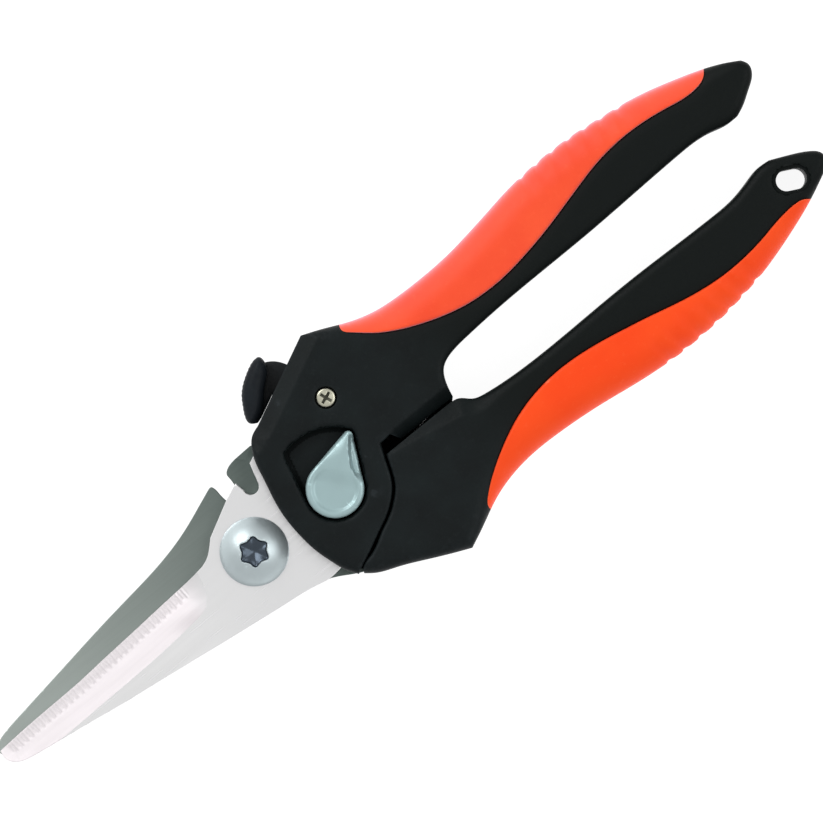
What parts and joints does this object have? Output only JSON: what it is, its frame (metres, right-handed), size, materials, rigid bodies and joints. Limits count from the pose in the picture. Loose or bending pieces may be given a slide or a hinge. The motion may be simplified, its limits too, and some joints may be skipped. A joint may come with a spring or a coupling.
{
  "type": "floral snips",
  "caption": "Straight-bladed floral snips with a micro-serrated blade, dome pivot bolt, thumb catch, opening lever and soft-grip handles, shown closed.",
  "frame": {"origin": "centre of the outline, on the flat surface that the tool's back faces lie on", "axes": "+X from the blade tips towards the handle ends, +Y towards the upper handle, +Z out of the front face (bolt head, lever and screw side), along the pivot"},
  "size_m": [0.2048, 0.057, 0.0182],
  "materials": {
    "blade_steel_bright": "satin ground stainless, polished bevel",
    "blade_steel_grey": "satin stainless",
    "zinc_plate": "bright zinc plating",
    "black_plastic": "fine spark-eroded texture",
    "orange_grip": "soft satin elastomer",
    "lever_casting": "pearl blue-grey casting",
    "dark_steel": "blackened steel",
    "nickel_plate": "nickel plating",
    "spring_steel": "drawn wire",
    "catch_plastic": "semi-matte moulded"
  },
  "bodies": {
    "upper_handle": {"front_blade": "blade_steel_bright", "upper_handle_front_shell": "black_plastic", "upper_handle_back_shell": "black_plastic", "upper_grip": "orange_grip", "pivot_bolt": "zinc_plate", "pivot_washer": "zinc_plate", "pivot_nut": "zinc_plate", "housing_screw": "nickel_plate", "catch_sleeve": "dark_steel", "catch_detent_spring": "spring_steel", "opening_spring": "spring_steel", "upper_tang_pins": "dark_steel", "upper_shell_screws": "nickel_plate"},
    "lower_handle": {"back_blade": "blade_steel_grey", "lower_handle_front_shell": "black_plastic", "lower_handle_back_shell": "black_plastic", "lower_grip": "orange_grip", "lower_tang_pins": "dark_steel", "lower_shell_screws": "nickel_plate"},
    "opening_lever": {"opening_lever": "lever_casting", "lever_cam": "dark_steel", "lever_screw": "nickel_plate", "lever_wave_washer": "spring_steel"},
    "lock_catch": {"catch_arm": "dark_steel", "catch_pad": "catch_plastic"}
  },
  "joints": [
    {"name": "main_pivot", "type": "hinge", "parent": "upper_handle", "child": "lower_handle", "pos_m": [-0.0369, -0.00153, 0.009], "axis": [0, 0, -1], "range_deg": [0, 25], "deforming": ["opening_spring"]},
    {"name": "lever_turn", "type": "hinge", "parent": "upper_handle", "child": "opening_lever", "pos_m": [-0.0163, -0.00193, 0.012], "axis": [0, 0, 1], "range_deg": [0, 66]},
    {"name": "catch_swing", "type": "hinge", "parent": "upper_handle", "child": "lock_catch", "pos_m": [-0.0062, 0.01347, 0.00775], "axis": [0, 0, -1], "range_deg": [0, 12]}
  ]
}
